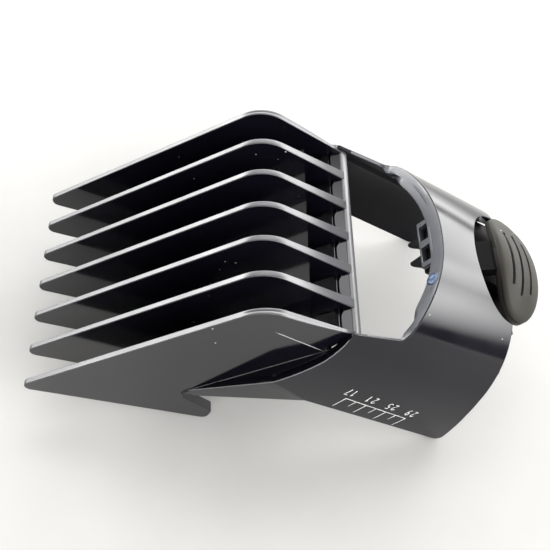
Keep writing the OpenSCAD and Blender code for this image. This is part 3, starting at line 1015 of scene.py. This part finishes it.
def add_claws():
    """Cross bar with two pointed claws that hook forwards under the guide plate."""
    x, thick = 30.8, 1.2
    rows = []
    for y in (-4.5, -3.25, -2.3, -CLAW_Y, -1.6, -0.65, 0.65, 1.6, CLAW_Y, 2.3, 3.25, 4.5):
        tip = max(1 - 0.05 * ramp(abs(abs(y) - CLAW_Y), 0, 0.35), 0) if 1.5 < abs(y) < 2.4 else 0.0
        rows.append([(y, 5.8), (y, CLAW_ROOT - 0.01 * tip), (y, CLAW_ROOT - CLAW_L * tip)])
    mesh = sheet(
        "claw_bar", bands(rows),
        lambda y, z, depth: (x - 1.3 * max(CLAW_ROOT - z, 0) / 2.55 + depth, y, z),
        lambda y, z: thick * (1 - 0.35 * ramp(CLAW_ROOT - z, 0, 2.5)),
        lambda y, z: (0.1, 0.1),
    )
    add_piece("claw_bar", mesh, latch_black, LATCH, ["latch_claws"])


SPRING_X = 34.2


def add_spring():
    """The return spring, with closed end turns, squashed along its own axis by the latch."""
    low, high = 5.85, section.at(0)[1] - WALL_T - 0.05
    radius, wire, turns, sides = 1.45, 0.2, 4.5, 12
    steps = 150
    points, loops = [], []
    for i in range(steps + 1):
        t = i / steps
        turn = 2 * math.pi * turns * t
        rise = ramp(t, 0.12, 0.88) * 0.35 + 0.65 * min(max((t - 0.12) / 0.76, 0), 1)
        z = lerp(low + wire, high - wire, rise)
        loops.append([])
        for k in range(sides):
            a = 2 * math.pi * k / sides
            r = radius + wire * math.cos(a)
            loops[-1].append(len(points))
            points.append((SPRING_X + r * math.cos(turn), r * math.sin(turn), z + wire * math.sin(a)))
    faces = [loops[0][::-1], loops[-1]]
    for a, b in zip(loops, loops[1:]):
        faces += [[a[k], a[(k + 1) % sides], b[(k + 1) % sides], b[k]] for k in range(sides)]
    mesh = finished_mesh("coil_spring", points, faces)
    piece = add_piece("coil_spring", mesh, spring_steel, BODY, ["return_spring"])
    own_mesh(piece)


# ---------------------------------------------------------------- printed marks
DIGITS = {
    "1": [[(0.25, 0.8), (0.5, 1.0), (0.5, 0.0)]],
    "2": [[(0, 0.8), (0.12, 0.96), (0.3, 1), (0.5, 0.93), (0.6, 0.75), (0.5, 0.5), (0, 0), (0.62, 0)]],
    "5": [[(0.58, 1), (0.1, 1), (0.04, 0.58), (0.3, 0.62), (0.52, 0.52), (0.6, 0.3), (0.5, 0.08),
           (0.28, 0), (0, 0.1)]],
    "7": [[(0, 1), (0.6, 1), (0.22, 0)]],
    "9": [[(0.6, 0.7), (0.48, 0.5), (0.28, 0.45), (0.08, 0.56), (0.03, 0.76), (0.14, 0.95), (0.34, 1),
           (0.54, 0.9), (0.6, 0.7), (0.56, 0.35), (0.4, 0.08), (0.15, 0)]],
}
SCALE_X = (25.6, 39.9)
SCALE_Z = (-12.2, -12.7)
DIGIT_H = 1.7
DIGIT_STEP = 1.25
LONG_TICK, SHORT_TICK = 3.3, 1.9


def add_scale():
    """Cutting-length scale on the left wall: a baseline, seven ticks and four numbers."""
    strokes = []

    def base(x):
        return lerp(SCALE_Z[0], SCALE_Z[1], (x - SCALE_X[0]) / (SCALE_X[1] - SCALE_X[0]))

    strokes.append([(x, base(x)) for x in spaced(*SCALE_X, 12)])
    for i in range(7):
        x = lerp(*SCALE_X, i / 6)
        strokes.append([(x, base(x)), (x - 0.1, base(x) - (SHORT_TICK if i % 2 else LONG_TICK))])
    for i, number in enumerate(("17", "21", "25", "29")):
        centre = lerp(*SCALE_X, i / 3) - 0.5
        for k, digit in enumerate(number):
            for path in DIGITS[digit]:
                start = 0.8 - k * DIGIT_STEP
                strokes.append([
                    (centre + start - px * DIGIT_H * 0.56 + 0.2, base(centre) + 2.75 - pz * DIGIT_H)
                    for px, pz in path
                ])
    points, faces = [], []
    half, lift = 0.085, 0.012

    def on_wall(x, z, height):
        return collar_point(x, -section.s_of_z(z), -height)

    for path in strokes:
        for a, b in zip(path, path[1:]):
            way = Vector((b[0] - a[0], b[1] - a[1]))
            pieces = max(1, int(way.length / 0.8))
            way.normalize()
            side = Vector((-way.y, way.x)) * half
            start = Vector(a) - way * half * 0.7
            end = Vector(b) + way * half * 0.7
            first = len(points)
            for i in range(pieces + 1):
                p = start.lerp(end, i / pieces)
                for q, height in ((p + side, lift), (p - side, lift), (p - side, -0.03), (p + side, -0.03)):
                    points.append(on_wall(q.x, q.y, height))
            for i in range(pieces):
                o = first + 4 * i
                faces += [[o + k, o + (k + 1) % 4, o + 4 + (k + 1) % 4, o + 4 + k] for k in range(4)]
            faces += [[first + 3, first + 2, first + 1, first], [first + 4 * pieces + k for k in range(4)]]
    mesh = finished_mesh("length_scale_print", points, faces)
    add_piece("length_scale_print", mesh, white_ink)


DOT_Y = 8.7
DOT_DEPTH = 1.62
DOT_RADII = (0.9, 1.25)


def add_dot():
    """Round colour mark on the rim's front face, left of the guide plate."""
    centre_v, steps = -section.s_of_y(DOT_Y), 40
    inner, outer = DOT_RADII
    points = []
    for radius, height in ((inner, 0.03), (outer, 0.03), (outer, -0.05)):
        for i in range(steps):
            a = 2 * math.pi * i / steps
            v, level = centre_v + radius * math.cos(a), DOT_DEPTH + radius * math.sin(a)
            y, _, _ = section.at(abs(v))
            x, py, pz = collar_point(rim_x(y), v, level)
            points.append((x - height, py, pz))
    faces = [list(range(steps)), list(range(3 * steps - 1, 2 * steps - 1, -1))]
    kinds = [0, 1]
    for ring in (0, steps):
        for i in range(steps):
            j = (i + 1) % steps
            faces.append([ring + i, ring + j, ring + steps + j, ring + steps + i])
            kinds.append(1)
    mesh = finished_mesh("colour_mark", points, faces, (), kinds)
    add_piece("colour_mark", mesh, [blue_ink, blue_edge])


# ---------------------------------------------------------------- carried-over CAD nodes
def dress_cad_nodes():
    """The hidden pieces keep their CAD shape, with fine bevels and their own materials."""
    finish = {
        "left_pivot_ear": black, "right_pivot_ear": black, "spring_post": black,
        "pivot_pin": pin_steel, "latch_lever": latch_black,
    }
    for name, material in finish.items():
        node = frame["nodes"][name]
        node.data.materials.clear()
        node.data.materials.append(material)
        bevel = node.modifiers.new("edge", "BEVEL")
        bevel.width = 0.0001
        bevel.segments = 2
        bevel.limit_method = "ANGLE"
        bevel.angle_limit = math.radians(35)
        node.modifiers.new("normals", "WEIGHTED_NORMAL")


# ---------------------------------------------------------------- floor, light and camera
def add_floor():
    mesh = bpy.data.meshes.new("floor")
    mesh.from_pydata([(-3, -3, 0), (3, -3, 0), (3, 3, 0), (-3, 3, 0)], [], [[0, 1, 2, 3]])
    floor = bpy.data.objects.new("floor", mesh)
    bpy.context.scene.collection.objects.link(floor)
    material, tree, bsdf = shader("floor_paper")
    tone = remap(tree, object_noise(tree, 40, 4), 0.3, 0.7, 0, 1)
    paper = mix_colour(tree, tone, (0.35, 0.346, 0.335), (0.37, 0.366, 0.355))
    tree.links.new(paper, bsdf.inputs["Base Color"])
    bsdf.inputs["Roughness"].default_value = 0.9
    mesh.materials.append(material)


def add_area(name, place, target, size, watts, falloff):
    data = bpy.data.lights.new(name, "AREA")
    data.shape = "RECTANGLE"
    data.size, data.size_y = size
    data.energy = watts
    lamp = bpy.data.objects.new(name, data)
    bpy.context.scene.collection.objects.link(lamp)
    lamp.location = place
    lamp.rotation_euler = (Vector(target) - Vector(place)).to_track_quat("-Z", "Y").to_euler()
    lamp.visible_camera = False
    soft_edged(data, falloff)


def soft_edged(lamp, falloff):
    """Fades the lamp's emission towards its edges, like the diffuser of a softbox."""
    lamp.use_nodes = True
    tree = lamp.node_tree
    emission = tree.nodes["Emission"]
    where = tree.nodes.new("ShaderNodeNewGeometry")
    split = tree.nodes.new("ShaderNodeSeparateXYZ")
    tree.links.new(where.outputs["Parametric"], split.inputs["Vector"])
    both = tree.nodes.new("ShaderNodeMath")
    both.operation = "MULTIPLY"
    for index, axis in enumerate(("X", "Y")):
        off = tree.nodes.new("ShaderNodeMath")
        off.operation = "SUBTRACT"
        off.inputs[1].default_value = 0.5
        tree.links.new(split.outputs[axis], off.inputs[0])
        size = tree.nodes.new("ShaderNodeMath")
        size.operation = "ABSOLUTE"
        tree.links.new(off.outputs["Value"], size.inputs[0])
        fade = remap(tree, size.outputs["Value"], 0.5, 0.5 - falloff[index], 0, 1)
        tree.links.new(fade, both.inputs[index])
    tree.links.new(both.outputs["Value"], emission.inputs["Strength"])


def add_light():
    world = bpy.data.worlds.new("studio")
    world.use_nodes = True
    back = world.node_tree.nodes["Background"]
    back.inputs["Color"].default_value = (1.0, 1.0, 0.985, 1)
    back.inputs["Strength"].default_value = 0.32
    bpy.context.scene.world = world
    middle = (0.0, 0.0, 0.02)
    # Power, size and falloff are fitted to the reflections in the photo. No lamp shows to the
    # camera. table_softbox lies just above the floor behind the comb and faces up.
    add_area("back_softbox", (0.4, 0.9, 0.33), middle, (2.9, 0.64), 52, (0.15, 0.06))
    add_area("left_softbox", (-1.0, 0.58, 0.42), middle, (1.5, 0.55), 52, (0.25, 0.3))
    add_area("right_softbox", (1.06, -0.3, 0.52), middle, (2.1, 0.75), 76, (0.4, 0.3))
    add_area("front_softbox", (0.0, -0.9, 0.6), middle, (2.0, 0.7), 21, (0.25, 0.3))
    add_area("table_softbox", (0.12, 0.25, 0.003), (0.12, 0.25, 1.0), (0.8, 0.34), 4.2, (0.3, 0.3))
    add_area("top_softbox", (0.0, 0.6, 1.1), middle, (1.6, 0.6), 18, (0.3, 0.3))


# The camera that was fitted to the photo, in a frame whose comb origin lay at FIT_ORIGIN_X.
CAMERA_PLACE = (-0.01891, -0.07999, 0.14335)
CAMERA_ANGLES = (32.459, -6.928, -1.104)
CAMERA_LENS = 54.75
FIT_ORIGIN_X = -0.00646281


def add_camera():
    data = bpy.data.cameras.new("camera")
    data.lens = CAMERA_LENS
    data.sensor_width = 36
    data.clip_start = 0.01
    camera = bpy.data.objects.new("camera", data)
    bpy.context.scene.collection.objects.link(camera)
    x, y, z = CAMERA_PLACE
    camera.location = (x + (origin.x - FIT_ORIGIN_X), y, z)
    camera.rotation_euler = [math.radians(a) for a in CAMERA_ANGLES]
    bpy.context.scene.camera = camera


add_camera()
add_light()
add_floor()
add_teeth()
add_rail()
add_collar()
add_lip()
add_blade_web(-1, "left_blade_web")
add_blade_web(1, "right_blade_web")
add_edge_rolls(-1, "left")
add_edge_rolls(1, "right")
add_guide()
add_claws()
add_button()
add_spring()
add_scale()
add_dot()
dress_cad_nodes()
bpy.context.scene.view_settings.view_transform = "Standard"
